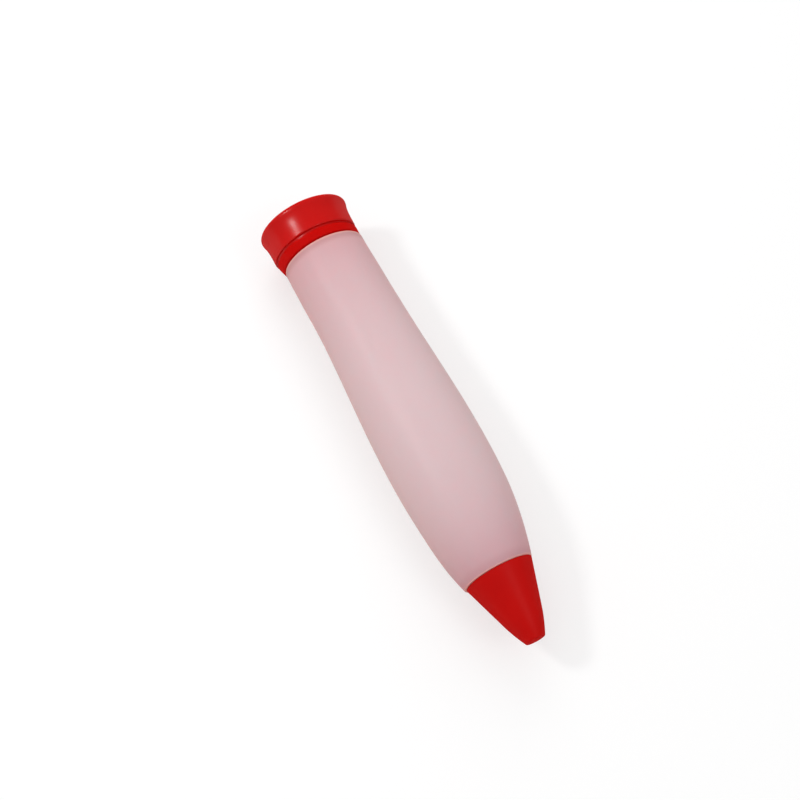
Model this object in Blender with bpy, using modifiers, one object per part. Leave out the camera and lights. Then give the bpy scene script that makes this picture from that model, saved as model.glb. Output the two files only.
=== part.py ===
"""Squeeze decorating pen lying on its side: a silicone bulb with a flared tail plug,
a push-in writing nozzle and a cone-shaped cap over the nozzle.

Run it with blender --background --python part.py, or from the text editor.
The pen's axis is level along X, from the tail (-X) to the tip of the cap (+X).
The floor is at Z = 0 and the world origin lies under the middle of the pen.
"""

import math

import bpy

# Sizes in metres. A height is a distance along the axis from the tail face,
# and a radius is measured from the axis.
LENGTH = 0.155
GAP = 0.0003
EDGE_ROUNDING = 0.0002
FACETS = 46

# Tail plug: a flared grip with a rounded rim, a thin groove, a beaded band and a ribbed spigot.
RIM_RADIUS = 0.01535
RIM_ROUNDING = 0.0011
RIM_FLARE_POWER = 4
GRIP_RADIUS = 0.01435
GRIP_HEIGHT = 0.0101
GRIP_END_ROUNDING = 0.0004
GROOVE_WIDTH = 0.0009
GROOVE_DEPTH = 0.00045
BAND_RADIUS = 0.0141
BAND_ROUNDING = 0.0004
BAND_STRAIGHT_SHARE = 0.25
BAND_END_RADIUS = 0.01325
SPIGOT_RADIUS = 0.0114
SPIGOT_RIB = 0.0004
SPIGOT_RIB_WIDTH = 0.0016
SPIGOT_RIB_HEIGHTS = (0.0188, 0.0242)
SPIGOT_END = 0.0285
SPIGOT_END_ROUNDING = 0.0006
PLUG_WALL = 0.0017
PLUG_FLOOR = 0.0030
PLUG_FLOOR_ROUNDING = 0.0008
FOOT_RADIUS = 0.0118
FOOT_RECESS = 0.0010

# Squeeze bulb: a mouth that widens a little to the waist, a full belly and a thick nose.
MOUTH_HEIGHT = 0.0144
MOUTH_RADIUS = 0.01352
MOUTH_BORE = 0.0121
WAIST_HEIGHT = 0.0300
WAIST_RADIUS = 0.01384
BELLY_HEIGHT = 0.0920
BELLY_RADIUS = 0.01614
NOSE_HEIGHT = 0.1322
NOSE_RADIUS = 0.01145
NOSE_SHOULDER = 0.68
LIP_ROUNDING = 0.0004
BULB_WALL = 0.00174
FUNNEL_HEIGHT = 0.1120
FUNNEL_END_BEVEL = 0.0012
NOSE_BORE = 0.0082
NOSE_BORE_HEIGHT = 0.1200

# Writing nozzle: a ribbed barrel in the nose, a flange on its face and a slim conical spout.
BARREL_START = 0.1205
BARREL_START_ROUNDING = 0.0004
BARREL_RADIUS = 0.0076
BARREL_RIB = 0.0003
BARREL_RIB_WIDTH = 0.0014
BARREL_RIB_HEIGHTS = (0.1240, 0.1282)
BARREL_BORE = 0.0063
FLANGE_RADIUS = 0.0092
FLANGE_THICKNESS = 0.0014
NECK_RADIUS = 0.0079
NECK_END = 0.1372
SPOUT_END = 0.1505
SPOUT_TIP_RADIUS = 0.0021
SPOUT_TIP_ROUNDING = 0.0004
SPOUT_HOLE = 0.0009
SPOUT_HOLE_LENGTH = 0.0020

# Nozzle cap: a straight cone that tucks in to a small flat tip, a socket for the neck
# and a pin that keeps the spout's hole clear. The cone alone would end at CAP_CONE_END_RADIUS.
CAP_RADIUS = 0.01092
CAP_CONE_END_RADIUS = 0.0039
CAP_TUCK = 0.0008
CAP_TUCK_HEIGHT = 0.1470
CAP_BASE_ROUNDING = 0.00015
CAP_TIP_ROUNDING = 0.0005
CAP_WALL = 0.0016
CAP_RECESS_DEPTH = 0.0017
CAP_INSIDE_END = 0.1512
PIN_RADIUS = 0.0005
PIN_LENGTH = 0.0020

# Heights and radii that follow from the sizes above.
AXIS_HEIGHT = BELLY_RADIUS * math.cos(math.pi / FACETS)
BAND_START = GRIP_HEIGHT + GROOVE_WIDTH
BAND_END = MOUTH_HEIGHT - GAP
FLANGE_START = NOSE_HEIGHT + GAP
FLANGE_END = FLANGE_START + FLANGE_THICKNESS
RECESS_END = FLANGE_START + CAP_RECESS_DEPTH
SOCKET_RADIUS = NECK_RADIUS + GAP
SOCKET_END = NECK_END + GAP

# Colours are linear RGB.
SILICONE_COLOUR = (0.72, 0.56, 0.58)
PLUG_RED = (0.60, 0.012, 0.010)
CAP_RED = (0.50, 0.010, 0.007)


def ease(share):
    """Rises from 0 to 1 with level ends."""
    return (1 - math.cos(math.pi * share)) / 2


def spread(start, end, count):
    """Evenly spaced values from start to end, both included."""
    return [start + (end - start) * index / (count - 1) for index in range(count)]


def turn_corner(before, corner, after, fillet, steps):
    """Points of the arc that rounds one corner of an outline."""
    to_before = (before[0] - corner[0], before[1] - corner[1])
    to_after = (after[0] - corner[0], after[1] - corner[1])
    before_length = math.hypot(*to_before)
    after_length = math.hypot(*to_after)
    a = (to_before[0] / before_length, to_before[1] / before_length)
    b = (to_after[0] / after_length, to_after[1] / after_length)
    half_angle = math.acos(max(-1.0, min(1.0, a[0] * b[0] + a[1] * b[1]))) / 2
    middle = (a[0] + b[0], a[1] + b[1])
    middle_length = math.hypot(*middle)
    reach = fillet / math.sin(half_angle)
    centre = (
        corner[0] + middle[0] / middle_length * reach,
        corner[1] + middle[1] / middle_length * reach,
    )
    tangent = fillet / math.tan(half_angle)
    first = (corner[0] + a[0] * tangent, corner[1] + a[1] * tangent)
    last = (corner[0] + b[0] * tangent, corner[1] + b[1] * tangent)
    start = math.atan2(first[1] - centre[1], first[0] - centre[0])
    sweep = math.atan2(last[1] - centre[1], last[0] - centre[0]) - start
    sweep = (sweep + math.pi) % (2 * math.pi) - math.pi
    return [
        (centre[0] + fillet * math.cos(angle), centre[1] + fillet * math.sin(angle))
        for angle in spread(start, start + sweep, steps + 1)
    ]


def outline(corners, closed):
    """A profile of (radius, height) points from corners (radius, height, fillet)."""
    points = []
    count = len(corners)
    for index, (radius, height, fillet) in enumerate(corners):
        if fillet == 0:
            points.append((radius, height))
            continue
        before = corners[(index - 1) % count]
        after = corners[(index + 1) % count]
        steps = 4 if fillet > 0.001 else 3
        points += turn_corner(before, (radius, height), after, fillet, steps)
    if closed:
        points.append(points[0])
    return points


def plastic(name, colour, roughness, translucency=0.0):
    """A Principled material; translucency is the share of light scattered inside."""
    material = bpy.data.materials.new(name)
    material.use_nodes = True
    shader = material.node_tree.nodes["Principled BSDF"]
    shader.inputs["Base Color"].default_value = (*colour, 1.0)
    shader.inputs["Roughness"].default_value = roughness
    shader.inputs["Metallic"].default_value = 0.0
    shader.inputs["Subsurface Weight"].default_value = translucency
    shader.inputs["Subsurface Scale"].default_value = BULB_WALL
    material.diffuse_color = (*colour, 1.0)
    return material


def turned_part(name, profile, material, axis, collection):
    """A solid of revolution about the pen's axis.

    The profile runs down the outer side, from the nose end to the tail end,
    and a Screw modifier turns it once round the local Z axis.
    """
    closed = profile[0] == profile[-1]
    points = profile[:-1] if closed else profile
    edges = [(index, index + 1) for index in range(len(points) - 1)]
    if closed:
        edges.append((len(points) - 1, 0))
    sketch = bpy.data.meshes.new(name + "_profile")
    sketch.from_pydata([(radius, 0.0, height) for radius, height in points], edges, [])
    part = bpy.data.objects.new(name, sketch)
    collection.objects.link(part)
    part.parent = axis
    screw = part.modifiers.new("Turn", "SCREW")
    screw.axis = "Z"
    screw.angle = math.tau
    screw.steps = FACETS
    screw.render_steps = FACETS
    screw.use_merge_vertices = True
    screw.merge_threshold = 0.00001
    bpy.context.view_layer.update()
    turned = part.evaluated_get(bpy.context.evaluated_depsgraph_get())
    mesh = bpy.data.meshes.new_from_object(turned)
    mesh.name = name
    mesh.shade_smooth()
    mesh.set_sharp_from_angle(angle=math.radians(32))
    mesh.materials.append(material)
    part.modifiers.remove(screw)
    part.data = mesh
    bpy.data.meshes.remove(sketch)
    return part


def grip_radius(height):
    """Radius of the plug's grip, which is nearly straight and flares close to the rim."""
    share = (height - RIM_ROUNDING) / (GRIP_HEIGHT - RIM_ROUNDING)
    return GRIP_RADIUS + (RIM_RADIUS - GRIP_RADIUS) * (1 - share) ** RIM_FLARE_POWER


def ribs(core, rib, width, heights):
    """Corners down a ribbed barrel: each rib is a low trapezium on the core."""
    corners = []
    for height in sorted(heights, reverse=True):
        corners.append((core, height + width / 2, 0))
        corners.append((core + rib, height + width / 4, 0))
        corners.append((core + rib, height - width / 4, 0))
        corners.append((core, height - width / 2, 0))
    return corners


def tail_plug_profile():
    hollow = SPIGOT_RADIUS - PLUG_WALL
    groove = BAND_RADIUS - GROOVE_DEPTH
    corners = [
        (0.0, PLUG_FLOOR, 0),
        (hollow, PLUG_FLOOR, PLUG_FLOOR_ROUNDING),
        (hollow, SPIGOT_END, 0),
        (SPIGOT_RADIUS, SPIGOT_END, SPIGOT_END_ROUNDING),
    ]
    corners += ribs(SPIGOT_RADIUS, SPIGOT_RIB, SPIGOT_RIB_WIDTH, SPIGOT_RIB_HEIGHTS)
    corners += [(SPIGOT_RADIUS, BAND_END, 0), (BAND_END_RADIUS, BAND_END, EDGE_ROUNDING)]
    shoulder = BAND_START + (BAND_END - BAND_START) * BAND_STRAIGHT_SHARE
    for share in spread(1, 0, 5)[1:]:
        radius = BAND_RADIUS - (BAND_RADIUS - BAND_END_RADIUS) * share**2
        corners.append((radius, shoulder + (BAND_END - shoulder) * share, 0))
    corners += [
        (BAND_RADIUS, BAND_START, BAND_ROUNDING),
        (groove, BAND_START, 0),
        (groove, GRIP_HEIGHT, 0),
        (GRIP_RADIUS, GRIP_HEIGHT, GRIP_END_ROUNDING),
    ]
    grip_heights = spread(GRIP_HEIGHT, RIM_ROUNDING, 8)[1:-1]
    corners += [(grip_radius(height), height, 0) for height in grip_heights]
    corners += [
        (RIM_RADIUS, 0.0, RIM_ROUNDING),
        (FOOT_RADIUS, 0.0, 0),
        (FOOT_RADIUS - FOOT_RECESS, FOOT_RECESS, 0),
        (0.0, FOOT_RECESS, 0),
    ]
    return outline(corners, closed=False)


def bulb_radius(height):
    """Outer radius of the bulb at a height from the mouth to the nose."""
    if height < WAIST_HEIGHT:
        share = (height - MOUTH_HEIGHT) / (WAIST_HEIGHT - MOUTH_HEIGHT)
        return MOUTH_RADIUS + (WAIST_RADIUS - MOUTH_RADIUS) * ease(share)
    if height < BELLY_HEIGHT:
        share = (height - WAIST_HEIGHT) / (BELLY_HEIGHT - WAIST_HEIGHT)
        return WAIST_RADIUS + (BELLY_RADIUS - WAIST_RADIUS) * ease(share)
    share = (height - BELLY_HEIGHT) / (NOSE_HEIGHT - BELLY_HEIGHT)
    drop = NOSE_SHOULDER * share**2 + (1 - NOSE_SHOULDER) * share**4
    return BELLY_RADIUS - (BELLY_RADIUS - NOSE_RADIUS) * drop


def squeeze_bulb_profile():
    nose = spread(NOSE_HEIGHT, BELLY_HEIGHT, 14)[1:]
    belly = spread(BELLY_HEIGHT, WAIST_HEIGHT, 11)[1:]
    waist = spread(WAIST_HEIGHT, MOUTH_HEIGHT, 5)[1:-1]
    corners = [(NOSE_BORE, NOSE_HEIGHT, 0), (NOSE_RADIUS, NOSE_HEIGHT, LIP_ROUNDING)]
    corners += [(bulb_radius(height), height, 0) for height in nose + belly + waist]
    corners += [
        (MOUTH_RADIUS, MOUTH_HEIGHT, LIP_ROUNDING),
        (MOUTH_BORE + GAP, MOUTH_HEIGHT, 0),
        (MOUTH_BORE, MOUTH_HEIGHT + GAP, 0),
    ]
    inside = spread(WAIST_HEIGHT, FUNNEL_HEIGHT, 11)
    corners += [(bulb_radius(height) - BULB_WALL, height, 0) for height in inside]
    corners += [
        (NOSE_BORE + FUNNEL_END_BEVEL, NOSE_BORE_HEIGHT - FUNNEL_END_BEVEL, 0),
        (NOSE_BORE, NOSE_BORE_HEIGHT, 0),
    ]
    return outline(corners, closed=True)


def writing_nozzle_profile():
    corners = [
        (SPOUT_HOLE, SPOUT_END, 0),
        (SPOUT_TIP_RADIUS, SPOUT_END, SPOUT_TIP_ROUNDING),
        (NECK_RADIUS - GAP, NECK_END, 0),
        (NECK_RADIUS, NECK_END - GAP, 0),
        (NECK_RADIUS, FLANGE_END, 0),
        (FLANGE_RADIUS, FLANGE_END, EDGE_ROUNDING),
        (FLANGE_RADIUS, FLANGE_START, EDGE_ROUNDING),
        (BARREL_RADIUS, FLANGE_START, 0),
    ]
    corners += ribs(BARREL_RADIUS, BARREL_RIB, BARREL_RIB_WIDTH, BARREL_RIB_HEIGHTS)
    corners += [
        (BARREL_RADIUS, BARREL_START, BARREL_START_ROUNDING),
        (BARREL_BORE, BARREL_START, 0),
        (BARREL_BORE, FLANGE_END, 0),
        (SPOUT_HOLE, SPOUT_END - SPOUT_HOLE_LENGTH, 0),
    ]
    return outline(corners, closed=True)


def cap_radius(height):
    """Outer radius of the cap, a straight cone that curves in above CAP_TUCK_HEIGHT."""
    share = (height - FLANGE_START) / (LENGTH - FLANGE_START)
    straight = CAP_RADIUS + (CAP_CONE_END_RADIUS - CAP_RADIUS) * share
    curved = max(0.0, (height - CAP_TUCK_HEIGHT) / (LENGTH - CAP_TUCK_HEIGHT))
    return straight - CAP_TUCK * curved**2


def nozzle_cap_profile():
    side = spread(LENGTH, CAP_TUCK_HEIGHT, 5)[1:] + spread(CAP_TUCK_HEIGHT, FLANGE_START, 4)[1:-1]
    inside = spread(SOCKET_END, CAP_INSIDE_END, 5)
    corners = [(0.0, LENGTH, 0), (cap_radius(LENGTH), LENGTH, CAP_TIP_ROUNDING)]
    corners += [(cap_radius(height), height, 0) for height in side]
    corners += [
        (CAP_RADIUS, FLANGE_START, CAP_BASE_ROUNDING),
        (FLANGE_RADIUS + GAP, FLANGE_START, 0),
        (FLANGE_RADIUS + GAP, RECESS_END, 0),
        (SOCKET_RADIUS, RECESS_END, 0),
        (SOCKET_RADIUS, SOCKET_END, 0),
    ]
    corners += [(cap_radius(height) - CAP_WALL, height, 0) for height in inside]
    corners += [
        (PIN_RADIUS, CAP_INSIDE_END, 0),
        (PIN_RADIUS, CAP_INSIDE_END - PIN_LENGTH, 0),
        (0.0, CAP_INSIDE_END - PIN_LENGTH, 0),
    ]
    return outline(corners, closed=False)


def main():
    for item in list(bpy.data.objects):
        bpy.data.objects.remove(item)
    pen = bpy.data.collections.new("squeeze_decorating_pen")
    bpy.context.scene.collection.children.link(pen)
    # The empty's Z axis is the pen's axis, and a flat between two facets faces the floor.
    axis = bpy.data.objects.new("pen_axis", None)
    axis.location = (-LENGTH / 2, 0.0, AXIS_HEIGHT)
    axis.rotation_euler = (math.pi / 2, 0.0, math.pi / 2)
    axis.empty_display_size = BELLY_RADIUS
    pen.objects.link(axis)
    silicone = plastic("milky_silicone", SILICONE_COLOUR, 0.55, translucency=0.5)
    plug_red = plastic("red_plug_plastic", PLUG_RED, 0.32)
    cap_red = plastic("red_cap_plastic", CAP_RED, 0.45)
    turned_part("squeeze_bulb", squeeze_bulb_profile(), silicone, axis, pen)
    turned_part("tail_plug", tail_plug_profile(), plug_red, axis, pen)
    turned_part("writing_nozzle", writing_nozzle_profile(), cap_red, axis, pen)
    turned_part("nozzle_cap", nozzle_cap_profile(), cap_red, axis, pen)


if __name__ == "__main__":
    main()
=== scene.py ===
"""Squeeze decorating pen: the visual model and its studio.

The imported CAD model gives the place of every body. Each visible piece is a finer
turned body over its CAD node, with a procedural finish of its own.
The pen's axis is level along X, from the tail plug (-X) to the tip of the cap (+X).
Sizes are in metres. A height is a distance along the axis from the tail face, and a
radius is measured from the axis.
"""

import math

import bpy
from bpy.props import FloatProperty, FloatVectorProperty, IntProperty, PointerProperty
from mathutils import Matrix, Vector


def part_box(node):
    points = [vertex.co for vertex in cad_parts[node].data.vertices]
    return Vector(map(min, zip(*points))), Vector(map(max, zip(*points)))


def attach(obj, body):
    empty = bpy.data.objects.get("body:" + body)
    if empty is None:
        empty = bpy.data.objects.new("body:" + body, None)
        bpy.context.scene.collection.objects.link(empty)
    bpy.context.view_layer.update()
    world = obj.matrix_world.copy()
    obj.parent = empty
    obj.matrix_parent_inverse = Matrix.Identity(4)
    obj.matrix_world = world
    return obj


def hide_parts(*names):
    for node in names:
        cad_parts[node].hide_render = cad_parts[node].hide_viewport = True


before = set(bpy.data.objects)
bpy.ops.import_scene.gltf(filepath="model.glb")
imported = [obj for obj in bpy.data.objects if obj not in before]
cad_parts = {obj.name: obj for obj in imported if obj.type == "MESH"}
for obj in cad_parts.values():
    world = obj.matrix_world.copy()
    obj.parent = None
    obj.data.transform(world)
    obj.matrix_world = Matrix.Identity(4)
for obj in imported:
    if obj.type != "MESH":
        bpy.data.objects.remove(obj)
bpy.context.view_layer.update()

bl_info = {
    "name": "Squeeze Decorating Pen",
    "version": (1, 0, 0),
    "blender": (4, 5, 0),
    "location": "3D View > Sidebar > Decorating Pen",
    "description": "Builds a silicone squeeze pen with its tail plug, nozzle and cap",
    "category": "Object",
}

# Places that the CAD model gives. The finished nose is a little longer than its CAD node.
NOSE_EXTRA = 0.0002
TAIL_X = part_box("tail_plug")[0].x
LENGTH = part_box("nozzle_cap")[1].x - TAIL_X
AXIS_Z = (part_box("squeeze_bulb")[0].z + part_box("squeeze_bulb")[1].z) / 2
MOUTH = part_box("squeeze_bulb")[0].x - TAIL_X
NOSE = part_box("squeeze_bulb")[1].x - TAIL_X + NOSE_EXTRA
SPIGOT_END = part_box("tail_plug")[1].x - TAIL_X
BARREL_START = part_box("writing_nozzle")[0].x - TAIL_X
SPOUT_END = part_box("writing_nozzle")[1].x - TAIL_X

# Gaps: between the nose's face and the plastic on it, and round the nozzle inside the cap.
SEAM = 0.00006
FIT = 0.0003

# Bevels and roundings of moulded edges. A rounding wider than ROUND_EDGE gets more points,
# and none takes more than MOST_OF_SIDE of a side that meets there. Where faces still meet
# at more than SHARP_ANGLE, the edge looks sharp.
CHAMFER = 0.0003
FINE_EDGE = 0.0001
EDGE = 0.0002
SOFT_EDGE = 0.0003
ROUND_EDGE = 0.0004
WIDE_EDGE = 0.0006
MOST_OF_SIDE = 0.95
SHARP_ANGLE = math.radians(40)

# Curves of the plug: how the grip flares to the rim, and how the band narrows to the mouth.
FLARE_POWER = 4
BAND_POWER = 1.1

# A largest radius that leaves a point of the bulb's section where the skin puts it.
NO_LIMIT = 1.0

# Vertices nearer than this are one, such as those where a turn closes.
WELD_DISTANCE = 0.000002

# Moulded finish: features per metre in the unevenness and in the colour's patches, the part
# that the unevenness has in the relief, and the darkest and the liveliest red as shares of
# the plastic's colour.
UNEVEN_SCALE = 160.0
PATCH_SCALE = 45.0
UNEVEN_RELIEF = 0.6
DARKEST = 0.88
LIVELIEST = 1.08

# A satin stretch: the share of the gloss that it lacks, and half the width of its edge.
SATIN_LOSS = 0.75
SATIN_EDGE = 0.0002

# Silicone: how patchy the red behind it looks. Then the stretches of wall with painted shade
# and those with a painted glow, each from its full effect to none as distances from the mouth
# or the nose, and how strong the nose's painted shade and the painted glow are.
PATCHINESS = 0.30
MOUTH_SHADE = (0.0010, 0.0030)
NOSE_SHADE = (0.0006, 0.0036)
NOSE_SHADE_SHARE = 0.45
MOUTH_GLOW = (0.0003, 0.0008)
NOSE_GLOW = (0.0001, 0.0006)
GLOW_SHARE = 0.6

# The studio floor is a disc. It glows evenly as far as NEAR_FLOOR.
FLOOR_RADIUS = 4.0
FLOOR_SIDES = 64
NEAR_FLOOR = 0.6
WHITE = (1.0, 1.0, 1.0, 1.0)

# The camera: its place from the floor's middle, with its height above the pen's axis, and
# the directions to its right and behind it.
CAMERA_PLACE = (0.1456, -0.0795, 0.43273)
CAMERA_RIGHT = (0.4559, 0.8900, 0.0)
CAMERA_BACK = (0.3294, -0.1687, 0.9290)


def size(name, description, default):
    """A length that the sidebar shows."""
    return FloatProperty(name=name, description=description, default=default,
                         precision=5, unit="LENGTH", subtype="DISTANCE")


def slant(name, description, degrees):
    """A small angle that the sidebar shows."""
    return FloatProperty(name=name, description=description, default=math.radians(degrees),
                         precision=3, unit="ROTATION")


def fraction(name, description, default):
    """A share between 0 and 1 that the sidebar shows as a slider."""
    return FloatProperty(name=name, description=description, default=default,
                         min=0.0, max=1.0, subtype="FACTOR")


def tone(name, description, default):
    """A linear colour that the sidebar shows as a swatch."""
    return FloatVectorProperty(name=name, description=description, default=default,
                               size=3, min=0.0, max=1.0, subtype="COLOR")


def power(name, description, default):
    """A lamp's power that the sidebar shows."""
    return FloatProperty(name=name, description=description, default=default,
                         min=0.0, unit="POWER")


class PenBulbSettings(bpy.types.PropertyGroup):
    mouth_radius: size("Mouth Radius", "Outer radius of the mouth", 0.01375)
    waist_height: size("Waist Height", "Where the waist ends and the long swell starts", 0.030)
    waist_radius: size("Waist Radius", "Outer radius of the waist", 0.01397)
    belly_height: size("Belly Height", "Where the bulb is widest", 0.0908)
    belly_radius: size("Belly Radius", "Outer radius of the belly", 0.01616)
    nose_radius: size("Nose Radius", "Outer radius at the nose's face", 0.01128)
    nose_shoulder: fraction("Nose Shoulder", "How early the belly starts to close to the nose", 0.68)
    wall: size("Wall", "Thickness of the silicone", 0.00174)
    mouth_bore: size("Mouth Bore", "Inner radius of the mouth", 0.0121)
    nose_bore: size("Nose Bore", "Inner radius of the nose", 0.0082)
    funnel_height: size("Funnel Height", "Where the wall starts to thicken to the nose", 0.112)
    funnel_bevel: size("Funnel Bevel", "Bevel between the funnel and the nose's bore", 0.0012)
    nose_bore_height: size("Nose Bore Height", "Where the nose's straight bore starts", 0.120)
    lip_rounding: size("Lip Rounding", "Radius of the rounded edges", 0.00025)
    bow: size("Bow", "How far the soft bulb lies to one side", 0.00045)
    bow_end: size("Bow End", "Where the bulb starts to bend back to the nose", 0.106)
    nose_shift: size("Nose Shift", "How far the nose lies to that side", -0.0002)
    tilt: slant("Tilt", "How far the soft mouth tilts with the plug", 0.9)
    pull: size("Pull", "How far the soft mouth is drawn towards the plug", 0.0003)
    give: size("Give", "How far from its edge the soft mouth gives way", 0.006)
    shift: size("Shift", "How far the mouth lies back from the side of the bow", 0.0004)
    shift_start: size("Shift Start", "Where that shift starts to lessen", 0.018)
    shift_end: size("Shift End", "Where that shift has gone", 0.040)
    silicone: tone("Silicone", "Colour of the milky silicone", (0.71, 0.545, 0.56))
    tail_blush: tone("Tail Blush", "Colour where the plug shows through the wall", (0.67, 0.39, 0.415))
    nose_blush: tone("Nose Blush", "Colour where the nozzle shows through the wall", (0.62, 0.352, 0.387))
    # Painted glow: a lighter colour on the thin lips beside the red plastic, standing in for light.
    lip_painted_glow: tone("Lip Glow", "Colour of the thin lips beside red plastic", (0.86, 0.42, 0.36))
    # Painted shade: this tint darkens the wall just behind the lips, where it meets the plastic.
    lip_painted_shade: tone("Lip Shade", "Tint that darkens the wall just behind the lips", (0.88, 0.80, 0.77))
    tail_fade: size("Tail Fade", "How far along the wall the plug's colour carries", 0.027)
    nose_fade: size("Nose Fade", "How far along the wall the nozzle's colour carries", 0.0165)


class PenPlugSettings(bpy.types.PropertyGroup):
    rim_radius: size("Rim Radius", "Radius of the flared rim", 0.01535)
    rim_rounding: size("Rim Rounding", "Rounding of the rim", 0.0011)
    grip_radius: size("Grip Radius", "Radius where the grip meets the groove", 0.01442)
    grip_height: size("Grip Height", "Length of the grip", 0.0100)
    groove_width: size("Groove Width", "Width of the groove", 0.0011)
    groove_depth: size("Groove Depth", "Depth of the groove below the band", 0.00066)
    band_radius: size("Band Radius", "Radius of the band next to the groove", 0.01418)
    band_end_radius: size("Band End Radius", "Radius of the band beside the mouth", 0.01376)
    band_undercut: size("Band Undercut", "How far the band turns in at the mouth", 0.0009)
    undercut_height: size("Undercut Height", "How far before its end the band turns in", 0.0004)
    band_gap: size("Band Gap", "How far the band ends before the moulded mouth", 0.0004)
    spigot_radius: size("Spigot Radius", "Radius of the spigot between its ribs", 0.0114)
    spigot_rib: size("Spigot Rib", "Height of a rib on the spigot", 0.0004)
    rib_width: size("Rib Width", "Width of a rib on the spigot", 0.0016)
    first_rib: size("First Rib", "Where the rib nearer the band is", 0.0188)
    second_rib: size("Second Rib", "Where the rib nearer the spigot's end is", 0.0242)
    wall: size("Wall", "Thickness of the plug's wall", 0.0017)
    floor_height: size("Floor Height", "Where the spigot's hollow has its floor", 0.0030)
    floor_rounding: size("Floor Rounding", "Rounding between that hollow's floor and side", 0.0008)
    foot_radius: size("Foot Radius", "Radius of the recess in the tail face", 0.0118)
    foot_recess: size("Foot Recess", "Depth of the recess in the tail face", 0.0010)
    dimple_radius: size("Dimple Radius", "Radius of the dimple in the recess", 0.0012)
    dimple_depth: size("Dimple Depth", "Depth of the dimple in the recess", 0.0002)
    tilt: slant("Tilt", "How far the grip tilts up in the soft mouth", 2.4)
    pull: size("Pull", "How far the grip stands out of the mouth", 0.00042)
    shift: size("Shift", "How far the grip sits to one side of the mouth", 0.00075)
    seat_depth: size("Seat Depth", "How far inside the mouth the spigot is straight again", 0.002)
    red: tone("Red", "Colour of the plug", (0.58, 0.0028, 0.0018))


class PenNozzleSettings(bpy.types.PropertyGroup):
    barrel_radius: size("Barrel Radius", "Radius of the barrel between its ribs", 0.0076)
    barrel_rib: size("Barrel Rib", "Height of a rib on the barrel", 0.0003)
    rib_width: size("Rib Width", "Width of a rib on the barrel", 0.0014)
    first_rib: size("First Rib", "Where the rib nearer the barrel's start is", 0.1240)
    second_rib: size("Second Rib", "Where the rib nearer the flange is", 0.1282)
    bore: size("Bore", "Inner radius of the barrel", 0.0063)
    flange_radius: size("Flange Radius", "Radius of the flange on the nose", 0.0092)
    flange_thickness: size("Flange Thickness", "Thickness of the flange", 0.0014)
    neck_radius: size("Neck Radius", "Radius of the neck that holds the cap", 0.0079)
    neck_end: size("Neck End", "Height where the neck ends", 0.1372)
    tip_radius: size("Tip Radius", "Outer radius of the spout's tip", 0.0021)
    hole_radius: size("Hole Radius", "Radius of the writing hole", 0.0009)
    hole_length: size("Hole Length", "Length of the straight writing hole", 0.0020)


class PenCapSettings(bpy.types.PropertyGroup):
    base_radius: size("Base Radius", "Radius of the cap at the nose", 0.01097)
    base_rounding: size("Base Rounding", "Rounding of the edge at the nose", 0.00015)
    tip_radius: size("Tip Radius", "Radius that the straight cone would have at its tip", 0.0039)
    tip_rounding: size("Tip Rounding", "Rounding of the edge of the flat tip", 0.0005)
    tuck: size("Tuck", "How far the side rounds in to the flat tip", 0.0008)
    tuck_height: size("Tuck Height", "Where the side starts to round in", 0.1470)
    wall: size("Wall", "Thickness of the cap's wall", 0.0016)
    recess_depth: size("Recess Depth", "Depth of the recess over the nozzle's flange", 0.0017)
    inside_end: size("Inside End", "Height where the hollow of the cap ends", 0.1512)
    pin_radius: size("Pin Radius", "Radius of the pin that closes the writing hole", 0.0005)
    pin_length: size("Pin Length", "Length of that pin", 0.0020)
    red: tone("Red", "Colour of the cap and the nozzle", (0.55, 0.0026, 0.0016))


class PenStudioSettings(bpy.types.PropertyGroup):
    segments: IntProperty(name="Segments", description="Faces round each turned piece",
                          default=128, min=24, max=256)
    floor: tone("Floor", "Colour of the studio floor", (0.84, 0.66, 0.60))
    glow: fraction("Floor Glow", "Share of the floor's white that no shadow takes away", 0.55)
    far_glow: fraction("Far Glow", "The same share at the floor's edge", 0.22)
    surround: FloatProperty(name="Surround", description="Strength of the light all round",
                            default=0.41, min=0.0)
    ceiling: power("Ceiling Light", "Power of the light from the whole ceiling", 10.5)
    window: power("Window Light", "Power of the small window light", 1.8)
    raking: power("Raking Light", "Power of the soft light beyond the tail", 3.4)
    fill: power("Fill Light", "Power of the soft light beyond the cap", 0.75)
    lens: FloatProperty(name="Lens", description="Focal length for a 36 mm wide sensor",
                        default=67.46, min=10.0, unit="CAMERA")


# Outlines. Each is a list of (radius, height) points whose outer side runs down from the
# nose end. It is worked out from corners (radius, height, rounding).

def spread(start, end, count):
    """Evenly spaced values from start to end, both included."""
    return [start + (end - start) * index / (count - 1) for index in range(count)]


def turn_corner(before, corner, after, fillet, steps):
    """Points of the arc that rounds one corner of an outline."""
    corner = Vector(corner)
    to_before = Vector(before) - corner
    to_after = Vector(after) - corner
    half_angle = to_before.angle(to_after) / 2
    room = MOST_OF_SIDE * math.tan(half_angle) * min(to_before.length, to_after.length)
    fillet = min(fillet, room)
    to_before.normalize()
    to_after.normalize()
    centre = corner + (to_before + to_after).normalized() * (fillet / math.sin(half_angle))
    reach = fillet / math.tan(half_angle)
    first = corner + to_before * reach - centre
    last = corner + to_after * reach - centre
    start = math.atan2(first.y, first.x)
    sweep = (math.atan2(last.y, last.x) - start + math.pi) % math.tau - math.pi
    return [
        (centre.x + fillet * math.cos(angle), centre.y + fillet * math.sin(angle))
        for angle in spread(start, start + sweep, steps + 1)
    ]


def outline(corners, closed):
    """The points of an outline, from its corners."""
    points = []
    count = len(corners)
    for index, (radius, height, fillet) in enumerate(corners):
        if fillet == 0:
            points.append((radius, height))
            continue
        before = corners[(index - 1) % count][:2]
        after = corners[(index + 1) % count][:2]
        steps = 8 if fillet > ROUND_EDGE else 4
        points += turn_corner(before, (radius, height), after, fillet, steps)
    if closed:
        points.append(points[0])
    return points


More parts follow.
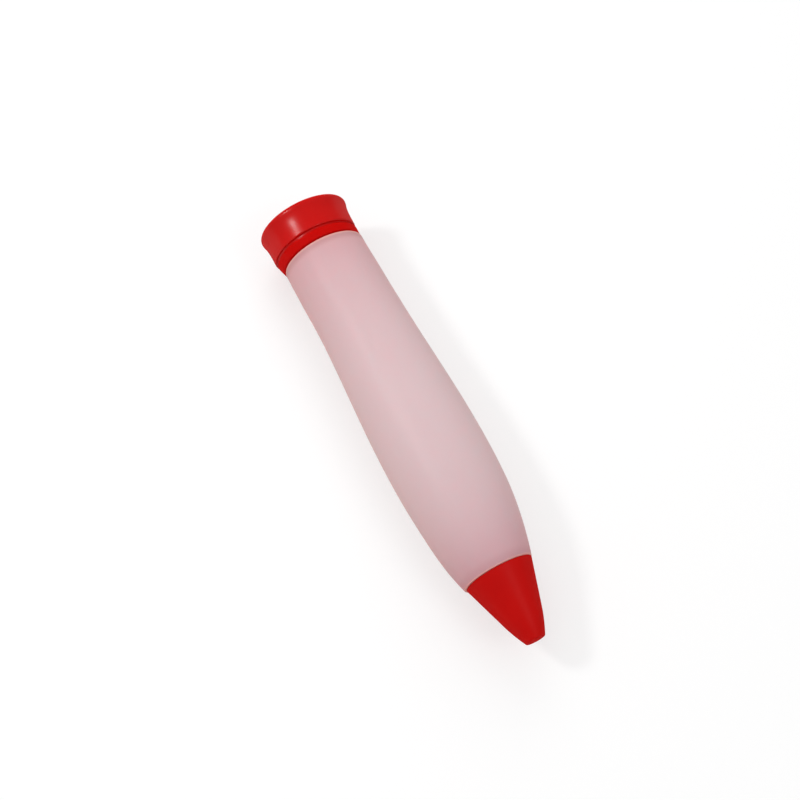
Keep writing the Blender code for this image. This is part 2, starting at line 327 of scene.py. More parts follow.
def ribs(core, rib, width, heights):
    """Corners down a ribbed barrel: each rib is a low rounded trapezium on the core."""
    corners = []
    for height in sorted(heights, reverse=True):
        corners.append((core, height + width / 2, EDGE))
        corners.append((core + rib, height + width / 4, EDGE))
        corners.append((core + rib, height - width / 4, EDGE))
        corners.append((core, height - width / 2, EDGE))
    return corners


def plug_outline(plug):
    """The hollow of the spigot, its end and its ribs, the band, the groove, the grip and the foot."""
    band_start = plug.grip_height + plug.groove_width
    band_end = MOUTH - plug.band_gap
    band_edge = band_end - plug.undercut_height
    hollow = plug.spigot_radius - plug.wall
    groove = plug.band_radius - plug.groove_depth
    dimple_floor = plug.foot_recess + plug.dimple_depth
    corners = [
        (0.0, plug.floor_height, 0),
        (hollow, plug.floor_height, plug.floor_rounding),
        (hollow, SPIGOT_END, SOFT_EDGE),
        (plug.spigot_radius, SPIGOT_END, WIDE_EDGE),
    ]
    corners += ribs(plug.spigot_radius, plug.spigot_rib, plug.rib_width,
                    (plug.first_rib, plug.second_rib))
    corners += [
        (plug.spigot_radius, band_end, SOFT_EDGE),
        (plug.band_end_radius - plug.band_undercut, band_end, EDGE),
        (plug.band_end_radius, band_edge, EDGE),
    ]
    loss = plug.band_radius - plug.band_end_radius
    for share in spread(1, 0, count=10)[1:-1]:
        height = band_start + (band_edge - band_start) * share
        corners.append((plug.band_radius - loss * share**BAND_POWER, height, 0))
    corners += [
        (plug.band_radius, band_start, EDGE),
        (groove, band_start, EDGE),
        (groove, plug.grip_height, EDGE),
        (plug.grip_radius, plug.grip_height, ROUND_EDGE),
    ]
    flare = plug.rim_radius - plug.grip_radius
    for share in spread(0, 1, count=16)[1:-1]:
        height = plug.grip_height + (plug.rim_rounding - plug.grip_height) * share
        corners.append((plug.grip_radius + flare * share**FLARE_POWER, height, 0))
    corners += [
        (plug.rim_radius, 0.0, plug.rim_rounding),
        (plug.foot_radius, 0.0, SOFT_EDGE),
        (plug.foot_radius - plug.foot_recess, plug.foot_recess, SOFT_EDGE),
        (plug.dimple_radius, plug.foot_recess, FINE_EDGE),
        (plug.dimple_radius - plug.dimple_depth, dimple_floor, FINE_EDGE),
        (0.0, dimple_floor, 0),
    ]
    return outline(corners, closed=False)


def nozzle_outline(nozzle):
    """The spout, the neck, the flange and the ribbed barrel, and the bore back up to the hole."""
    flange_start = NOSE + SEAM
    flange_end = flange_start + nozzle.flange_thickness
    corners = [
        (nozzle.hole_radius, SPOUT_END, FINE_EDGE),
        (nozzle.tip_radius, SPOUT_END, ROUND_EDGE),
        (nozzle.neck_radius - CHAMFER, nozzle.neck_end, FINE_EDGE),
        (nozzle.neck_radius, nozzle.neck_end - CHAMFER, FINE_EDGE),
        (nozzle.neck_radius, flange_end, EDGE),
        (nozzle.flange_radius, flange_end, EDGE),
        (nozzle.flange_radius, flange_start, EDGE),
        (nozzle.barrel_radius, flange_start, EDGE),
    ]
    corners += ribs(nozzle.barrel_radius, nozzle.barrel_rib, nozzle.rib_width,
                    (nozzle.first_rib, nozzle.second_rib))
    corners += [
        (nozzle.barrel_radius, BARREL_START, ROUND_EDGE),
        (nozzle.bore, BARREL_START, SOFT_EDGE),
        (nozzle.bore, flange_end, WIDE_EDGE),
        (nozzle.hole_radius, SPOUT_END - nozzle.hole_length, EDGE),
    ]
    return outline(corners, closed=True)


def cap_outline(cap, nozzle):
    """The flat tip, the side and the base, and inside the recess, the socket, the hollow and the pin."""
    base = NOSE + SEAM
    recess_radius = nozzle.flange_radius + FIT
    recess_end = base + cap.recess_depth
    socket_radius = nozzle.neck_radius + FIT
    socket_end = nozzle.neck_end + FIT
    pin_end = cap.inside_end - cap.pin_length

    def side(height):
        share = (height - base) / (LENGTH - base)
        straight = cap.base_radius + (cap.tip_radius - cap.base_radius) * share
        rounded = max(0.0, (height - cap.tuck_height) / (LENGTH - cap.tuck_height))
        return straight - cap.tuck * rounded**2

    corners = [(0.0, LENGTH, 0), (side(LENGTH), LENGTH, cap.tip_rounding)]
    corners += [(side(height), height, 0) for height in spread(LENGTH, base, count=24)[1:-1]]
    corners += [
        (cap.base_radius, base, cap.base_rounding),
        (recess_radius, base, EDGE),
        (recess_radius, recess_end, FINE_EDGE),
        (socket_radius, recess_end, FINE_EDGE),
        (socket_radius, socket_end, FINE_EDGE),
    ]
    corners += [(side(height) - cap.wall, height, 0)
                for height in spread(socket_end, cap.inside_end, count=6)]
    corners += [
        (cap.pin_radius, cap.inside_end, FINE_EDGE),
        (cap.pin_radius, pin_end, EDGE),
        (0.0, pin_end, 0),
    ]
    return outline(corners, closed=False)


def bulb_stations(bulb):
    """The bulb's section as (height, inset from the outer skin, largest radius) points.

    They run from the nose's face down the outer skin to the mouth, and back up inside.
    """
    lip = bulb.lip_rounding
    waist = bulb.waist_height
    quarter = spread(0, math.pi / 2, count=9)
    stations = [(NOSE, 0.0, bulb.nose_bore)]
    stations += [(NOSE - lip + lip * math.cos(angle), lip - lip * math.sin(angle), NO_LIMIT)
                 for angle in quarter]
    stations += [(height, 0.0, NO_LIMIT) for height in spread(NOSE - lip, waist, count=90)[1:]]
    stations += [(height, 0.0, NO_LIMIT) for height in spread(waist, MOUTH + lip, count=8)[1:-1]]
    stations += [(MOUTH + lip - lip * math.sin(angle), lip - lip * math.cos(angle), NO_LIMIT)
                 for angle in quarter]
    stations += [(MOUTH, 0.0, bulb.mouth_bore + CHAMFER), (MOUTH + CHAMFER, 0.0, bulb.mouth_bore)]
    stations += [(height, bulb.wall, NO_LIMIT)
                 for height in spread(waist, bulb.funnel_height, count=50)]
    stations += [
        (bulb.nose_bore_height - bulb.funnel_bevel, 0.0, bulb.nose_bore + bulb.funnel_bevel),
        (bulb.nose_bore_height, 0.0, bulb.nose_bore),
        (NOSE, 0.0, bulb.nose_bore),
    ]
    return stations


# Nodes of every kind

def link(tree, source, target):
    """Joins an output socket to an input socket."""
    tree.links.new(source, target)


def feed(tree, value, socket):
    """Links an output to a socket, or sets a number or a colour there."""
    if isinstance(value, bpy.types.NodeSocket):
        link(tree, value, socket)
    elif isinstance(value, tuple):
        socket.default_value = (*value, 1.0)
    else:
        socket.default_value = value


def set_sockets(node, values):
    """Sets a node's own input values by their sockets' names."""
    for label, value in values.items():
        node.inputs[label].default_value = value


def calc(tree, operation, *values):
    """A Math node; each value is a number or an output socket."""
    node = tree.nodes.new("ShaderNodeMath")
    node.operation = operation
    for socket, value in zip(node.inputs, values):
        feed(tree, value, socket)
    return node.outputs[0]


def clamp01(tree, value):
    """Keeps a value between 0 and 1."""
    node = tree.nodes.new("ShaderNodeClamp")
    link(tree, value, node.inputs["Value"])
    return node.outputs[0]


def ease(tree, share):
    """Rises from 0 to 1 with level ends, as the share does."""
    cosine = calc(tree, "COSINE", calc(tree, "MULTIPLY", share, math.pi))
    return calc(tree, "MULTIPLY", calc(tree, "SUBTRACT", 1.0, cosine), 0.5)


def numbers(defaults):
    """A node group's inputs for numbers, from their names and defaults."""
    return [(name, "NodeSocketFloat", default) for name, default in defaults.items()]


def new_group(name, inputs, outputs, kind="GeometryNodeTree"):
    """A node group with (name, socket type, default) inputs and (name, socket type) outputs."""
    tree = bpy.data.node_groups.new(name, kind)
    for label, socket_type, default in inputs:
        socket = tree.interface.new_socket(label, in_out="INPUT", socket_type=socket_type)
        if default is not None:
            socket.default_value = default
    for label, socket_type in outputs:
        tree.interface.new_socket(label, in_out="OUTPUT", socket_type=socket_type)
    return tree, tree.nodes.new("NodeGroupInput"), tree.nodes.new("NodeGroupOutput")


def node_group(name, maker):
    """The node group of that name, which its maker makes the first time."""
    return bpy.data.node_groups.get(name) or maker()


# Geometry Nodes

def pass_through(tree, kind, geometry, **values):
    """Sends a geometry through a node and gives what comes out."""
    node = tree.nodes.new(kind)
    link(tree, geometry, node.inputs["Geometry"])
    for label, value in values.items():
        feed(tree, value, node.inputs[label])
    return node.outputs["Geometry"]


def set_position(tree, geometry, x, y, z):
    """Puts every point at the place that x, y and z give for it."""
    place = tree.nodes.new("ShaderNodeCombineXYZ")
    for socket, value in zip(place.inputs, (x, y, z)):
        feed(tree, value, socket)
    return pass_through(tree, "GeometryNodeSetPosition", geometry, Position=place.outputs[0])


def named_attribute(tree, name):
    """The number that each point keeps under a name."""
    node = tree.nodes.new("GeometryNodeInputNamedAttribute")
    node.data_type = "FLOAT"
    node.inputs["Name"].default_value = name
    return node.outputs["Attribute"]


def store_attribute(tree, geometry, name, value, data_type, domain):
    """Keeps a value on the geometry under a name and gives the geometry."""
    node = tree.nodes.new("GeometryNodeStoreNamedAttribute")
    node.data_type = data_type
    node.domain = domain
    node.inputs["Name"].default_value = name
    link(tree, geometry, node.inputs["Geometry"])
    link(tree, value, node.inputs["Value"])
    return node.outputs["Geometry"]


def bulb_form_tree():
    """Sets each section point's radius from the rule of the bulb's outer skin."""
    tree, given, result = new_group(
        "bulb_form",
        [
            ("Geometry", "NodeSocketGeometry", None),
            *numbers({
                "Mouth Height": MOUTH, "Mouth Radius": 0.01375,
                "Waist Height": 0.030, "Waist Radius": 0.01397,
                "Belly Height": 0.0908, "Belly Radius": 0.01616,
                "Nose Height": NOSE, "Nose Radius": 0.01128,
                "Nose Shoulder": 0.68,
            }),
        ],
        [("Geometry", "NodeSocketGeometry")],
    )
    take = given.outputs
    height = named_attribute(tree, "station")

    def share_between(low, high):
        above = calc(tree, "SUBTRACT", height, take[low])
        return clamp01(tree, calc(tree, "DIVIDE", above, calc(tree, "SUBTRACT", take[high], take[low])))

    def swell(start, low, high):
        growth = calc(tree, "SUBTRACT", take[high + " Radius"], take[low + " Radius"])
        rise = ease(tree, share_between(low + " Height", high + " Height"))
        return calc(tree, "MULTIPLY_ADD", growth, rise, start)

    body = swell(take["Mouth Radius"], "Mouth", "Waist")
    body = swell(body, "Waist", "Belly")
    to_nose = share_between("Belly Height", "Nose Height")
    square = calc(tree, "POWER", to_nose, 2.0)
    fourth = calc(tree, "POWER", to_nose, 4.0)
    late = calc(tree, "MULTIPLY", calc(tree, "SUBTRACT", 1.0, take["Nose Shoulder"]), fourth)
    drop = calc(tree, "MULTIPLY_ADD", take["Nose Shoulder"], square, late)
    loss = calc(tree, "SUBTRACT", take["Belly Radius"], take["Nose Radius"])
    skin = calc(tree, "SUBTRACT", body, calc(tree, "MULTIPLY", loss, drop))
    inside = calc(tree, "SUBTRACT", skin, named_attribute(tree, "inset"))
    radius = calc(tree, "MINIMUM", inside, named_attribute(tree, "limit"))
    formed = set_position(tree, take["Geometry"], radius, 0.0, height)
    link(tree, formed, result.inputs["Geometry"])
    return tree


def turning_tree():
    """Turns a section (radius on X, height on Z) once round the pen's axis."""
    tree, given, result = new_group(
        "turn_round_axis",
        [
            ("Geometry", "NodeSocketGeometry", None),
            ("Segments", "NodeSocketInt", 96),
            *numbers({
                "Tail X": 0.0, "Axis Height": 0.016,
                "Bow": 0.0, "Bow End": 0.1, "Nose Shift": 0.0, "Nose Height": 0.13,
                "Tilt": 0.0, "Pull": 0.0,
                "Free Height": 0.01, "Seat Height": 0.02, "Mouth Height": 0.014,
                "Shift": 0.0, "Shift Start": 0.01, "Shift End": 0.02,
            }),
            ("Material", "NodeSocketMaterial", None),
        ],
        [("Geometry", "NodeSocketGeometry")],
    )
    take = given.outputs

    # A grid with a row for each section point and a column for each step of the turn. The
    # half added to a point's index keeps its row right when the division is rounded.
    count = tree.nodes.new("GeometryNodeAttributeDomainSize")
    link(tree, take["Geometry"], count.inputs["Geometry"])
    columns = calc(tree, "ADD", take["Segments"], 1.0)
    grid = tree.nodes.new("GeometryNodeMeshGrid")
    link(tree, count.outputs["Point Count"], grid.inputs["Vertices X"])
    link(tree, columns, grid.inputs["Vertices Y"])
    index = tree.nodes.new("GeometryNodeInputIndex").outputs[0]
    row = calc(tree, "FLOOR", calc(tree, "DIVIDE", calc(tree, "ADD", index, 0.5), columns))
    column = calc(tree, "SUBTRACT", index, calc(tree, "MULTIPLY", row, columns))
    sample = tree.nodes.new("GeometryNodeSampleIndex")
    sample.data_type = "FLOAT_VECTOR"
    link(tree, take["Geometry"], sample.inputs["Geometry"])
    link(tree, tree.nodes.new("GeometryNodeInputPosition").outputs[0], sample.inputs["Value"])
    link(tree, row, sample.inputs["Index"])
    section = tree.nodes.new("ShaderNodeSeparateXYZ")
    link(tree, sample.outputs["Value"], section.inputs[0])
    radius, height = section.outputs["X"], section.outputs["Z"]
    turn = calc(tree, "MULTIPLY", calc(tree, "DIVIDE", column, take["Segments"]), math.tau)
    along = calc(tree, "ADD", height, take["Tail X"])
    across = calc(tree, "MULTIPLY", radius, calc(tree, "SINE", turn))
    rise = calc(tree, "MULTIPLY", radius, calc(tree, "COSINE", turn))

    # The bow: the piece lies to one side up to Bow End, and bends to Nose Shift at Nose Height.
    reach = calc(tree, "SUBTRACT", take["Nose Height"], take["Bow End"])
    share = clamp01(tree, calc(tree, "DIVIDE", calc(tree, "SUBTRACT", height, take["Bow End"]), reach))
    swing = calc(tree, "SUBTRACT", take["Nose Shift"], take["Bow"])
    bend = calc(tree, "MULTIPLY_ADD", swing, ease(tree, share), take["Bow"])

    # The seat: below Free Height the piece is pulled and tilted about Mouth Height whole,
    # and less and less from there to Seat Height. It is shifted likewise, whole below
    # Shift Start and less and less from there to Shift End.
    def let_go(start, end):
        below = calc(tree, "SUBTRACT", take[end], height)
        return clamp01(tree, calc(tree, "DIVIDE", below, calc(tree, "SUBTRACT", take[end], take[start])))

    free = let_go("Free Height", "Seat Height")
    slope = calc(tree, "SINE", take["Tilt"])
    pulled = calc(tree, "SUBTRACT", calc(tree, "MULTIPLY", rise, slope), take["Pull"])
    back = calc(tree, "MULTIPLY", pulled, free)
    behind = calc(tree, "SUBTRACT", take["Mouth Height"], height)
    lift = calc(tree, "MULTIPLY", calc(tree, "MULTIPLY", behind, slope), free)
    aside = calc(tree, "MULTIPLY", take["Shift"], let_go("Shift Start", "Shift End"))

    turned = set_position(
        tree, grid.outputs["Mesh"],
        calc(tree, "ADD", back, along),
        calc(tree, "ADD", across, calc(tree, "SUBTRACT", bend, aside)),
        calc(tree, "ADD", calc(tree, "ADD", rise, lift), take["Axis Height"]),
    )
    turned = store_attribute(tree, turned, "moulded_height", height, "FLOAT", "POINT")
    turned = store_attribute(tree, turned, "UVMap", grid.outputs["UV Map"], "FLOAT2", "CORNER")
    turned = pass_through(tree, "GeometryNodeMergeByDistance", turned, Distance=WELD_DISTANCE)
    turned = pass_through(tree, "GeometryNodeSetShadeSmooth", turned)
    turned = pass_through(tree, "GeometryNodeRealizeInstances", turned)
    turned = pass_through(tree, "GeometryNodeSetMaterial", turned, Material=take["Material"])
    link(tree, turned, result.inputs["Geometry"])
    return tree


def set_inputs(modifier, values):
    """Sets a Geometry Nodes modifier's inputs by their sockets' identifiers."""
    for item in modifier.node_group.interface.items_tree:
        if item.item_type == "SOCKET" and item.in_out == "INPUT" and item.name in values:
            modifier[item.identifier] = values[item.name]


def turned_piece(name, node, body, section, material, seat=None, form=None, attributes=None):
    """Turns a section into a finished piece that stands for a CAD node.

    seat holds inputs of the turning tree and form those of the bulb's form tree, which
    reads the attributes of the section's points.
    """
    sketch = bpy.data.meshes.new(name + "_section")
    sketch.from_pydata([(radius, 0.0, height) for radius, height in section], [], [])
    for label, values in (attributes or {}).items():
        sketch.attributes.new(label, "FLOAT", "POINT").data.foreach_set("value", values)
    piece = bpy.data.objects.new(name, sketch)
    bpy.context.scene.collection.objects.link(piece)
    if form:
        shaping = piece.modifiers.new("Form", "NODES")
        shaping.node_group = node_group("bulb_form", bulb_form_tree)
        set_inputs(shaping, form)
    lathe = piece.modifiers.new("Turn", "NODES")
    lathe.node_group = node_group("turn_round_axis", turning_tree)
    set_inputs(lathe, {
        "Segments": bpy.context.scene.pen_studio.segments,
        "Tail X": TAIL_X,
        "Axis Height": AXIS_Z,
        "Material": material,
        **(seat or {}),
    })
    bpy.context.view_layer.update()
    turned = piece.evaluated_get(bpy.context.evaluated_depsgraph_get())
    mesh = bpy.data.meshes.new_from_object(turned)
    mesh.name = name
    piece.modifiers.clear()
    piece.data = mesh
    bpy.data.meshes.remove(sketch)
    mesh.set_sharp_from_angle(angle=SHARP_ANGLE)
    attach(piece, body)
    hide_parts(node)


# Materials

def mix_colour(tree, share, first, second, blend="MIX"):
    """A Mix node for colours; each value is a colour or an output socket."""
    node = tree.nodes.new("ShaderNodeMix")
    node.data_type = "RGBA"
    node.blend_type = blend
    for socket, value in ((node.inputs[0], share), (node.inputs[6], first), (node.inputs[7], second)):
        feed(tree, value, socket)
    return node.outputs[2]


def noise(tree, where, scale, detail=2.0):
    """Soft noise round 0.5; scale is in features per metre."""
    node = tree.nodes.new("ShaderNodeTexNoise")
    node.inputs["Detail"].default_value = detail
    feed(tree, scale, node.inputs["Scale"])
    link(tree, where, node.inputs["Vector"])
    return node.outputs["Fac"]


def fade(tree, value, start, end):
    """A smooth mask that is 1 at start and 0 at end."""
    node = tree.nodes.new("ShaderNodeMapRange")
    node.interpolation_type = "SMOOTHSTEP"
    link(tree, value, node.inputs["Value"])
    set_sockets(node, {"From Min": start, "From Max": end, "To Min": 1.0, "To Max": 0.0})
    return node.outputs["Result"]


def decay(tree, value, start, reach):
    """A mask that is 1 at start and falls away exponentially over reach."""
    steps = calc(tree, "DIVIDE", calc(tree, "SUBTRACT", start, value), reach)
    return calc(tree, "MINIMUM", calc(tree, "EXPONENT", steps), 1.0)


def moulded_height(tree):
    """The height at which a point was moulded, before the piece was bent or tilted."""
    node = tree.nodes.new("ShaderNodeAttribute")
    node.attribute_name = "moulded_height"
    return node.outputs["Fac"]


def moulded_grain_tree():
    """The fine texture that a moulding tool leaves, with a broad unevenness in its gloss."""
    tree, given, result = new_group(
        "moulded_grain",
        numbers({"Grain Size": 0.0002, "Roughness": 0.4, "Unevenness": 0.05}),
        [("Height", "NodeSocketFloat"), ("Roughness", "NodeSocketFloat"), ("Mottle", "NodeSocketFloat")],
        kind="ShaderNodeTree",
    )
    where = tree.nodes.new("ShaderNodeTexCoord").outputs["Object"]
    fine = noise(tree, where, calc(tree, "DIVIDE", 1.0, given.outputs["Grain Size"]), detail=3.0)
    broad = noise(tree, where, UNEVEN_SCALE)
    swing = calc(tree, "SUBTRACT", calc(tree, "ADD", fine, broad), 1.0)
    rough = calc(tree, "MULTIPLY_ADD", swing, given.outputs["Unevenness"], given.outputs["Roughness"])
    link(tree, calc(tree, "MULTIPLY_ADD", broad, UNEVEN_RELIEF, fine), result.inputs["Height"])
    link(tree, rough, result.inputs["Roughness"])
    link(tree, noise(tree, where, PATCH_SCALE), result.inputs["Mottle"])
    return tree


def moulded_finish(name, roughness, grain_size, unevenness, bump, bump_distance):
    """A material with a moulded grain; gives it, its tree, its shader and the colour's patches."""
    material = bpy.data.materials.new(name)
    material.use_nodes = True
    tree = material.node_tree
    shader = tree.nodes["Principled BSDF"]
    grain = tree.nodes.new("ShaderNodeGroup")
    grain.node_tree = node_group("moulded_grain", moulded_grain_tree)
    set_sockets(grain, {"Grain Size": grain_size, "Roughness": roughness, "Unevenness": unevenness})
    link(tree, grain.outputs["Roughness"], shader.inputs["Roughness"])
    relief = tree.nodes.new("ShaderNodeBump")
    set_sockets(relief, {"Strength": bump, "Distance": bump_distance})
    link(tree, grain.outputs["Height"], relief.inputs["Height"])
    link(tree, relief.outputs["Normal"], shader.inputs["Normal"])
    return material, tree, shader, grain.outputs["Mottle"]


def soft_gloss(shader, weight, roughness):
    """A thin even gloss that doesn't whiten at the edges of round pieces."""
    set_sockets(shader, {"Specular IOR Level": 0.0, "Coat Weight": weight,
                         "Coat Roughness": roughness, "Coat IOR": 2.5})


def see_into(shader, weight, colour_reach, depth):
    """Lets light into the piece; colour_reach says how far each colour goes, times depth."""
    set_sockets(shader, {"Subsurface Weight": weight, "Subsurface Radius": colour_reach,
                         "Subsurface Scale": depth})


def red_plastic(name, colour, roughness, grain_size, bump, gloss, satin_start=None):
    """Red moulded plastic with slightly uneven colour, less glossy from satin_start on."""
    material, tree, shader, patches = moulded_finish(
        name, roughness, grain_size, unevenness=0.10, bump=bump, bump_distance=0.00004)
    deep = tuple(channel * DARKEST for channel in colour)
    lively = tuple(min(1.0, channel * LIVELIEST) for channel in colour)
    link(tree, mix_colour(tree, patches, deep, lively), shader.inputs["Base Color"])
    see_into(shader, weight=0.25, colour_reach=(1.0, 0.06, 0.05), depth=0.0012)
    soft_gloss(shader, weight=gloss, roughness=roughness)
    if satin_start:
        satin = fade(tree, moulded_height(tree), satin_start + SATIN_EDGE, satin_start - SATIN_EDGE)
        weight = calc(tree, "MULTIPLY_ADD", satin, -SATIN_LOSS * gloss, gloss)
        link(tree, weight, shader.inputs["Coat Weight"])
    return material


def milky_silicone(bulb):
    """Translucent silicone that takes on red where plastic stands close behind it, with painted shade
    behind its lips and a painted glow on them.
    """
    material, tree, shader, patches = moulded_finish(
        "milky_silicone_skin", roughness=0.52, grain_size=0.00016, unevenness=0.08,
        bump=0.12, bump_distance=0.00003)
    height = moulded_height(tree)

    def from_mouth(start, end):
        return fade(tree, height, MOUTH + start, MOUTH + end)

    def from_nose(start, end):
        return fade(tree, height, NOSE - start, NOSE - end)

    # The plug and the nozzle show through the wall, a little patchily.
    cloud = calc(tree, "MULTIPLY_ADD", patches, PATCHINESS, 1.0 - PATCHINESS / 2)
    near_tail = calc(tree, "MULTIPLY", decay(tree, height, MOUTH, bulb.tail_fade), cloud)
    near_nose = calc(tree, "MULTIPLY", decay(tree, height, NOSE, -bulb.nose_fade), cloud)
    tint = mix_colour(tree, near_tail, tuple(bulb.silicone), tuple(bulb.tail_blush))
    tint = mix_colour(tree, near_nose, tint, tuple(bulb.nose_blush))

    # Painted shade darkens a stretch of wall behind each lip, and the thin lips get a painted glow.
    nose_shade = calc(tree, "MULTIPLY", from_nose(*NOSE_SHADE), NOSE_SHADE_SHARE)
    shade = calc(tree, "MAXIMUM", from_mouth(*MOUTH_SHADE), nose_shade)
    tint = mix_colour(tree, shade, tint, tuple(bulb.lip_painted_shade), blend="MULTIPLY")
    lips = calc(tree, "MAXIMUM", from_mouth(*MOUTH_GLOW), from_nose(*NOSE_GLOW))
    lips = calc(tree, "MULTIPLY", lips, GLOW_SHARE)
    link(tree, mix_colour(tree, lips, tint, tuple(bulb.lip_painted_glow)), shader.inputs["Base Color"])
    see_into(shader, weight=0.45, colour_reach=(1.0, 0.45, 0.50), depth=0.0022)
    soft_gloss(shader, weight=0.08, roughness=0.45)
    return material


def studio_paint(colour, glow, far_glow):
    """Floor paint that looks white to the camera, with a glow that keeps its shadows light.

    The glow fades with the distance, so that the far floor runs into the surround.
    """
    material = bpy.data.materials.new("studio_paint")
    material.use_nodes = True
    tree = material.node_tree
    shader = tree.nodes["Principled BSDF"]
    rays = tree.nodes.new("ShaderNodeLightPath").outputs
    seen = calc(tree, "MAXIMUM", rays["Is Camera Ray"],
                calc(tree, "MAXIMUM", rays["Is Glossy Ray"], rays["Is Transmission Ray"]))
    lit = (1.0 - glow,) * 3
    link(tree, mix_colour(tree, seen, colour, lit), shader.inputs["Base Color"])
    away = tree.nodes.new("ShaderNodeVectorMath")
    away.operation = "LENGTH"
    link(tree, tree.nodes.new("ShaderNodeTexCoord").outputs["Object"], away.inputs[0])
    near = fade(tree, away.outputs["Value"], NEAR_FLOOR, FLOOR_RADIUS)
    share = calc(tree, "MULTIPLY_ADD", near, glow - far_glow, far_glow)
    link(tree, calc(tree, "MULTIPLY", seen, share), shader.inputs["Emission Strength"])
    set_sockets(shader, {"Emission Color": WHITE, "Roughness": 0.9, "Specular IOR Level": 0.0})
    return material


# Pieces

class PEN_OT_bulb(bpy.types.Operator):
    """Make the soft squeeze bulb"""

    bl_idname = "decorating_pen.bulb"
    bl_label = "Squeeze Bulb"

    def execute(self, context):
        bulb = context.scene.pen_bulb
        heights, insets, limits = zip(*bulb_stations(bulb))
        turned_piece(
            "bulb_skin", "squeeze_bulb", "squeeze_bulb",
            [(0.0, height) for height in heights],
            milky_silicone(bulb),
            seat={
                "Bow": bulb.bow, "Bow End": bulb.bow_end,
                "Nose Shift": bulb.nose_shift, "Nose Height": NOSE,
                "Tilt": bulb.tilt, "Pull": bulb.pull, "Mouth Height": MOUTH,
                "Free Height": MOUTH + bulb.lip_rounding, "Seat Height": MOUTH + bulb.give,
                "Shift": bulb.shift, "Shift Start": bulb.shift_start, "Shift End": bulb.shift_end,
            },
            form={
                "Mouth Height": MOUTH, "Mouth Radius": bulb.mouth_radius,
                "Waist Height": bulb.waist_height, "Waist Radius": bulb.waist_radius,
                "Belly Height": bulb.belly_height, "Belly Radius": bulb.belly_radius,
                "Nose Height": NOSE, "Nose Radius": bulb.nose_radius,
                "Nose Shoulder": bulb.nose_shoulder,
            },
            attributes={"station": heights, "inset": insets, "limit": limits},
        )
        return {"FINISHED"}


class PEN_OT_plug(bpy.types.Operator):
    """Make the flared tail plug"""

    bl_idname = "decorating_pen.plug"
    bl_label = "Tail Plug"

    def execute(self, context):
        plug = context.scene.pen_plug
        red = red_plastic("red_plug_moulding", tuple(plug.red), roughness=0.27, grain_size=0.00022,
                          bump=0.10, gloss=0.11, satin_start=plug.grip_height + plug.groove_width / 2)
        turned_piece(
            "plug_moulding", "tail_plug", "tail_plug",
            plug_outline(plug),
            red,
            seat={
                "Tilt": plug.tilt, "Pull": plug.pull, "Mouth Height": MOUTH,
                "Free Height": plug.grip_height + plug.groove_width,
                "Seat Height": MOUTH + plug.seat_depth,
                "Shift": plug.shift, "Shift Start": plug.grip_height, "Shift End": MOUTH,
            },
        )
        return {"FINISHED"}


class PEN_OT_nozzle(bpy.types.Operator):
    """Make the writing nozzle under the cap"""

    bl_idname = "decorating_pen.nozzle"
    bl_label = "Writing Nozzle"

    def execute(self, context):
        red = red_plastic("red_nozzle_moulding", tuple(context.scene.pen_cap.red), roughness=0.30,
                          grain_size=0.00020, bump=0.08, gloss=0.12)
        turned_piece("nozzle_moulding", "writing_nozzle", "writing_nozzle",
                     nozzle_outline(context.scene.pen_nozzle), red)
        return {"FINISHED"}


class PEN_OT_cap(bpy.types.Operator):
    """Make the cone-shaped cap"""

    bl_idname = "decorating_pen.cap"
    bl_label = "Nozzle Cap"

    def execute(self, context):
        cap = context.scene.pen_cap
        red = red_plastic("red_cap_moulding", tuple(cap.red), roughness=0.42,
                          grain_size=0.00024, bump=0.16, gloss=0.05)
        turned_piece("cap_moulding", "nozzle_cap", "nozzle_cap",
                     cap_outline(cap, context.scene.pen_nozzle), red)
        return {"FINISHED"}


# Studio

def soft_light(name, watts, width, direction, distance, glossy):
    """A round area light that faces the pen's middle; glossy says if reflections show it."""
    lamp = bpy.data.lights.new(name, "AREA")
    lamp.shape = "DISK"
    lamp.size = width
    lamp.energy = watts
    lamp.cycles.use_multiple_importance_sampling = glossy
    light = bpy.data.objects.new(name, lamp)
    bpy.context.scene.collection.objects.link(light)
    way = Vector(direction).normalized()
    light.location = Vector((0.0, 0.0, AXIS_Z)) + way * distance
    light.rotation_euler = way.to_track_quat("Z", "Y").to_euler()
    light.visible_glossy = glossy


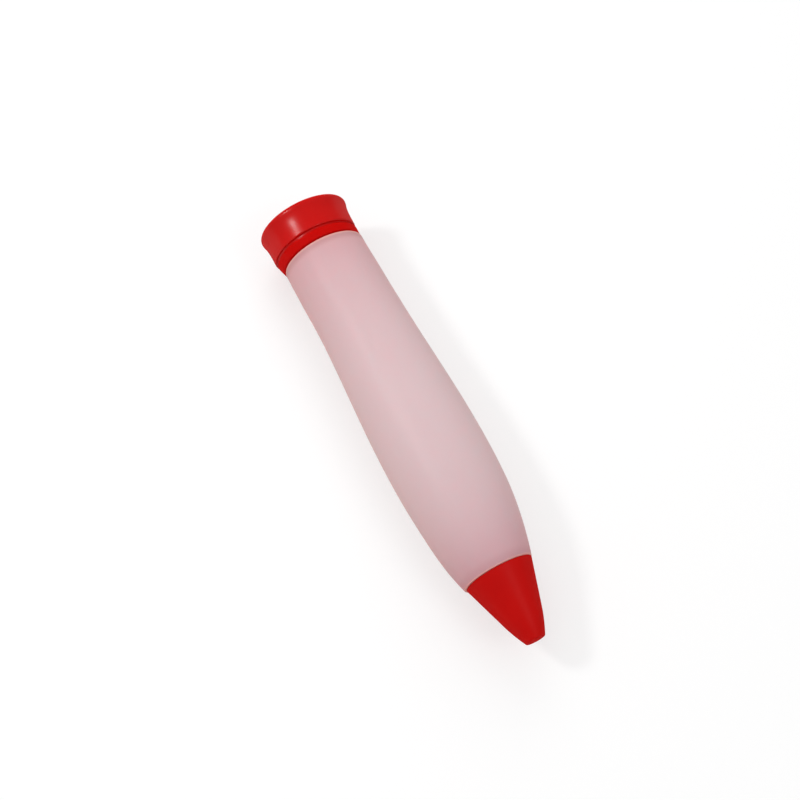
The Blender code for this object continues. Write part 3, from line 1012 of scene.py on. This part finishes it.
class PEN_OT_stage(bpy.types.Operator):
    """Make the floor, the lights and the camera"""

    bl_idname = "decorating_pen.stage"
    bl_label = "Studio"

    def execute(self, context):
        studio = context.scene.pen_studio
        floor = bpy.data.meshes.new("studio_floor")
        turns = [math.tau * side / FLOOR_SIDES for side in range(FLOOR_SIDES)]
        ring = [(FLOOR_RADIUS * math.cos(turn), FLOOR_RADIUS * math.sin(turn), 0.0) for turn in turns]
        floor.from_pydata(ring, [], [tuple(range(FLOOR_SIDES))])
        floor.materials.append(studio_paint(tuple(studio.floor), studio.glow, studio.far_glow))
        ground = bpy.data.objects.new("studio_floor", floor)
        context.scene.collection.objects.link(ground)

        soft_light("ceiling_light", studio.ceiling, width=3.0,
                   direction=(0.0, -0.05, 1.0), distance=1.6, glossy=False)
        soft_light("window_light", studio.window, width=0.13,
                   direction=(-0.365, -0.52, 0.77), distance=0.80, glossy=True)
        soft_light("raking_light", studio.raking, width=0.9,
                   direction=(-0.78, 0.32, 0.61), distance=1.2, glossy=False)
        soft_light("fill_light", studio.fill, width=0.35,
                   direction=(0.50, 0.33, 0.80), distance=0.9, glossy=True)

        world = bpy.data.worlds.new("studio_surround")
        world.use_nodes = True
        set_sockets(world.node_tree.nodes["Background"], {"Color": WHITE, "Strength": studio.surround})
        context.scene.world = world

        camera = bpy.data.objects.new("studio_camera", bpy.data.cameras.new("studio_camera"))
        context.scene.collection.objects.link(camera)
        back = Vector(CAMERA_BACK).normalized()
        up = back.cross(Vector(CAMERA_RIGHT)).normalized()
        turn = Matrix((up.cross(back), up, back)).transposed().to_4x4()
        x, y, above_axis = CAMERA_PLACE
        camera.matrix_world = Matrix.Translation((x, y, above_axis + AXIS_Z)) @ turn
        camera.data.lens = studio.lens
        camera.data.sensor_width = 36.0
        camera.data.clip_start = 0.01
        camera.data.clip_end = 20.0
        context.scene.camera = camera
        context.scene.view_settings.view_transform = "Standard"
        return {"FINISHED"}


class PEN_PT_panel(bpy.types.Panel):
    """Sizes, colours and pieces of the decorating pen"""

    bl_idname = "PEN_PT_panel"
    bl_label = "Decorating Pen"
    bl_space_type = "VIEW_3D"
    bl_region_type = "UI"
    bl_category = "Decorating Pen"

    def draw(self, context):
        scene = context.scene
        for operator, settings in (
            (PEN_OT_bulb, scene.pen_bulb),
            (PEN_OT_plug, scene.pen_plug),
            (PEN_OT_nozzle, scene.pen_nozzle),
            (PEN_OT_cap, scene.pen_cap),
            (PEN_OT_stage, scene.pen_studio),
        ):
            box = self.layout.box()
            box.operator(operator.bl_idname)
            for name in settings.bl_rna.properties.keys():
                if name not in {"rna_type", "name"}:
                    box.prop(settings, name)


SETTINGS = {
    "pen_bulb": PenBulbSettings,
    "pen_plug": PenPlugSettings,
    "pen_nozzle": PenNozzleSettings,
    "pen_cap": PenCapSettings,
    "pen_studio": PenStudioSettings,
}
OPERATORS = (PEN_OT_bulb, PEN_OT_plug, PEN_OT_nozzle, PEN_OT_cap, PEN_OT_stage)


def register():
    for name, settings in SETTINGS.items():
        bpy.utils.register_class(settings)
        setattr(bpy.types.Scene, name, PointerProperty(type=settings))
    for operator in OPERATORS:
        bpy.utils.register_class(operator)
    bpy.utils.register_class(PEN_PT_panel)


def unregister():
    bpy.utils.unregister_class(PEN_PT_panel)
    for operator in reversed(OPERATORS):
        bpy.utils.unregister_class(operator)
    for name, settings in reversed(list(SETTINGS.items())):
        delattr(bpy.types.Scene, name)
        bpy.utils.unregister_class(settings)


def main():
    register()
    bpy.ops.decorating_pen.bulb()
    bpy.ops.decorating_pen.plug()
    bpy.ops.decorating_pen.nozzle()
    bpy.ops.decorating_pen.cap()
    bpy.ops.decorating_pen.stage()


if __name__ == "__main__":
    main()
